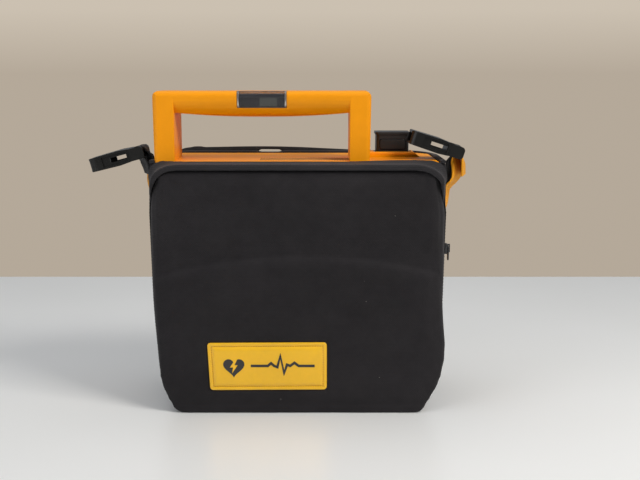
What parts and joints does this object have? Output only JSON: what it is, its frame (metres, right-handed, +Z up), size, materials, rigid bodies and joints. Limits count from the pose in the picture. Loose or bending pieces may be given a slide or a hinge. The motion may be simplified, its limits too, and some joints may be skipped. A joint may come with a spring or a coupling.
{
  "type": "defibrillator",
  "caption": "Portable defibrillator standing in a zipped soft carry case, with a moulded carrying handle, a hinged front cover, control keys, a removable battery and strap buckles.",
  "frame": {"origin": "centre of the soft case's base, on the surface it stands on", "axes": "+Z up, +X to the right of a person facing the front cover, +Y away from that person, so the front cover faces -Y"},
  "size_m": [0.3574, 0.1338, 0.302],
  "materials": {
    "case_plastic": "finely textured orange-yellow moulded plastic",
    "gasket_rubber": "matt black rubber",
    "screw_steel": "plain steel",
    "panel_plastic": "dark grey textured plastic",
    "display_glass": "clear window with a dark border",
    "lcd_module": "grey-green liquid crystal display",
    "keypad_silicone": "grey silicone",
    "key_green": "green moulded key",
    "key_amber": "amber moulded key",
    "key_orange": "orange-red moulded key",
    "key_grey": "light grey key",
    "dark_plastic": "black moulded plastic",
    "latch_plastic": "black moulded plastic",
    "contact_gold": "gold-plated contacts",
    "board_green": "green solder mask",
    "ribbon": "grey flat cable",
    "component_black": "black component bodies",
    "capacitor_sleeve": "dark blue sleeve",
    "bracket_plastic": "white nylon",
    "copper_winding": "enamelled copper wire",
    "transformer_core": "ferrite core with tape",
    "heatsink_aluminium": "extruded aluminium",
    "battery_plastic": "orange-yellow plastic",
    "cell_sleeve": "shrink sleeve",
    "case_fabric": "charcoal woven nylon over foam",
    "edge_binding": "black fabric binding with stitching",
    "badge_vinyl": "glossy yellow vinyl with a raised stitched border",
    "pocket_net": "black open net",
    "pouch_foil": "sealed foil pouch",
    "zipper_tape": "black zip tape with coil teeth",
    "zipper_metal": "black painted zinc",
    "yellow_webbing": "golden yellow nylon webbing",
    "black_webbing": "black nylon webbing",
    "buckle_plastic": "black acetal"
  },
  "bodies": {
    "case": {"front_case": "case_plastic", "rear_case": "case_plastic", "case_gasket": "gasket_rubber", "case_screws": "screw_steel", "rubber_feet": "gasket_rubber", "control_panel": "panel_plastic", "display_window": "display_glass", "display_module": "lcd_module", "keypad_membrane": "keypad_silicone", "speaker": "dark_plastic", "electrode_socket": "dark_plastic", "socket_contacts": "contact_gold", "ui_board": "board_green", "ribbon_cable": "ribbon", "main_board": "board_green", "board_components": "component_black", "high_voltage_board": "board_green", "board_spacers": "contact_gold", "board_screws": "screw_steel", "energy_capacitor": "capacitor_sleeve", "capacitor_bracket": "bracket_plastic", "waveform_inductor": "copper_winding", "charging_transformer": "transformer_core", "transfer_relay": "component_black", "power_heatsink": "heatsink_aluminium", "battery_contacts": "contact_gold", "readiness_window": "display_glass", "readiness_display": "lcd_module", "readiness_flex": "ribbon", "soft_case_body": "case_fabric", "front_top_band": "edge_binding", "cover_hinge_strip": "case_fabric", "zipper_tape_case": "zipper_tape", "side_strap_left": "yellow_webbing", "side_strap_right": "yellow_webbing", "corner_tab_left": "black_webbing", "corner_tab_right": "black_webbing", "back_strap": "black_webbing"},
    "front_cover_flap": {"front_cover": "case_fabric", "cover_badge": "badge_vinyl", "cover_pocket": "pocket_net", "electrode_pouch": "pouch_foil", "zipper_tape_cover": "zipper_tape"},
    "on_off_key": {"on_off_button": "key_green"},
    "analyse_key": {"analyse_button": "key_amber"},
    "shock_key": {"shock_button": "key_orange"},
    "up_key": {"up_button": "key_grey"},
    "down_key": {"down_button": "key_grey"},
    "battery": {"battery_housing": "battery_plastic", "battery_cells": "cell_sleeve", "battery_cap": "dark_plastic"},
    "battery_release": {"battery_latch": "latch_plastic"},
    "slider": {"zipper_slider": "zipper_metal"},
    "pull_tab": {"zipper_pull": "zipper_metal"},
    "left_buckle": {"buckle_left": "buckle_plastic"},
    "right_buckle": {"buckle_right": "buckle_plastic"}
  },
  "joints": [
    {"name": "cover_hinge", "type": "hinge", "parent": "case", "child": "front_cover_flap", "pos_m": [0, -0.0615, 0.006], "axis": [1, 0, 0], "range_deg": [0, 90]},
    {"name": "on_off_press", "type": "slide", "parent": "case", "child": "on_off_key", "axis": [0, 1, 0], "range_m": [0, 0.0015], "stiffness_N_per_m": 1500, "springref_m": -0.0008},
    {"name": "analyse_press", "type": "slide", "parent": "case", "child": "analyse_key", "axis": [0, 1, 0], "range_m": [0, 0.0015], "stiffness_N_per_m": 1500, "springref_m": -0.0008},
    {"name": "shock_press", "type": "slide", "parent": "case", "child": "shock_key", "axis": [0, 1, 0], "range_m": [0, 0.0015], "stiffness_N_per_m": 1500, "springref_m": -0.0008},
    {"name": "up_press", "type": "slide", "parent": "case", "child": "up_key", "axis": [0, 1, 0], "range_m": [0, 0.0015], "stiffness_N_per_m": 1000, "springref_m": -0.0008},
    {"name": "down_press", "type": "slide", "parent": "case", "child": "down_key", "axis": [0, 1, 0], "range_m": [0, 0.0015], "stiffness_N_per_m": 1000, "springref_m": -0.0008},
    {"name": "battery_slide", "type": "slide", "parent": "case", "child": "battery", "axis": [0, 0, 1], "range_m": [0, 0.118]},
    {"name": "release_press", "type": "slide", "parent": "battery", "child": "battery_release", "axis": [0, 1, 0], "range_m": [0, 0.0025], "stiffness_N_per_m": 1200, "springref_m": -0.001},
    {"name": "zip_slide", "type": "slide", "parent": "case", "child": "slider", "axis": [0.0214, 0, 0.9998], "range_m": [-0.095, 0.05]},
    {"name": "pull_swing", "type": "hinge", "parent": "slider", "child": "pull_tab", "pos_m": [0.14188, -0.045, 0.1569], "axis": [0, -1, 0], "range_deg": [0, 150]},
    {"name": "left_buckle_swing", "type": "hinge", "parent": "case", "child": "left_buckle", "pos_m": [-0.1493, -0.016, 0.2443], "axis": [0, 1, 0], "range_deg": [0, 110]},
    {"name": "right_buckle_swing", "type": "hinge", "parent": "case", "child": "right_buckle", "pos_m": [0.1526, -0.016, 0.2442], "axis": [0, 1, 0], "range_deg": [0, 150]}
  ]
}
